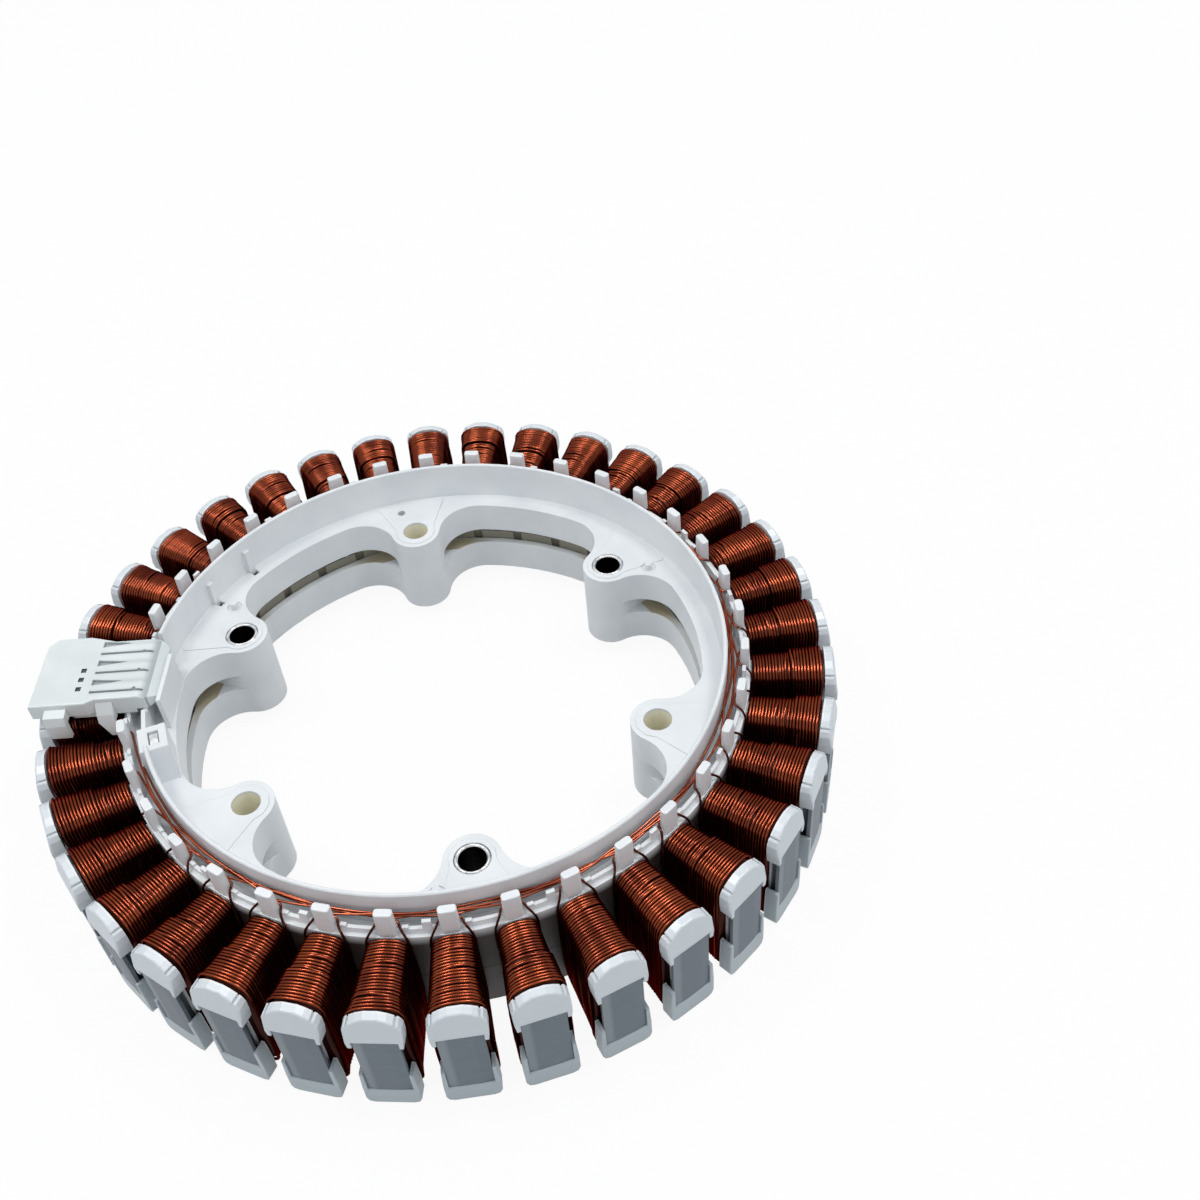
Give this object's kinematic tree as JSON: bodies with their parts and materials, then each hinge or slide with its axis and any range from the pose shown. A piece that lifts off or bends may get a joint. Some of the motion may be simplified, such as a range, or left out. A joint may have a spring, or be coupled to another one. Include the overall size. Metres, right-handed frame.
{
  "type": "washing machine motor stator",
  "caption": "Ring stator of an outer-rotor washing machine motor: laminated steel teeth with copper windings, white plastic insulators, inner mounting lugs and a connector housing.",
  "frame": {"origin": "on the ring's axis, in the plane that the lower tooth caps rest on", "axes": "+Z along the ring's axis, towards the side with the wall, the posts and the connector housing; -X towards the housing"},
  "size_m": [0.2648, 0.2648, 0.0517],
  "materials": {
    "core_steel": "blue-grey laminated electrical steel",
    "white_plastic": "satin white moulded polyester",
    "housing_plastic": "satin white moulded plastic",
    "bush_steel": "turned steel",
    "winding": "red-brown enamelled copper",
    "enamelled_wire": "red-brown enamelled copper",
    "board": "green circuit board",
    "sensor_black": "black moulded package",
    "terminal_metal": "tin-plated brass",
    "splice_metal": "tin-plated sheet metal"
  },
  "bodies": {
    "root": {"laminated_core": "core_steel", "upper_insulator": "white_plastic", "lower_insulator": "white_plastic", "mounting_bushes": "bush_steel", "connector_housing": "housing_plastic", "sensor_board": "board", "position_sensors": "sensor_black", "power_terminals": "terminal_metal", "star_point_splice": "splice_metal", "phase_wire_u": "enamelled_wire", "phase_wire_v": "enamelled_wire", "phase_wire_w": "enamelled_wire", "star_point_wire": "enamelled_wire", "coil_01": "winding", "coil_02": "winding", "coil_03": "winding", "coil_04": "winding", "coil_05": "winding", "coil_06": "winding", "coil_07": "winding", "coil_08": "winding", "coil_09": "winding", "coil_10": "winding", "coil_11": "winding", "coil_12": "winding", "coil_13": "winding", "coil_14": "winding", "coil_15": "winding", "coil_16": "winding", "coil_17": "winding", "coil_18": "winding", "coil_19": "winding", "coil_20": "winding", "coil_21": "winding", "coil_22": "winding", "coil_23": "winding", "coil_24": "winding", "coil_25": "winding", "coil_26": "winding", "coil_27": "winding", "coil_28": "winding", "coil_29": "winding", "coil_30": "winding", "coil_31": "winding", "coil_32": "winding", "coil_33": "winding", "coil_34": "winding", "coil_35": "winding", "coil_36": "winding"}
  },
  "joints": []
}
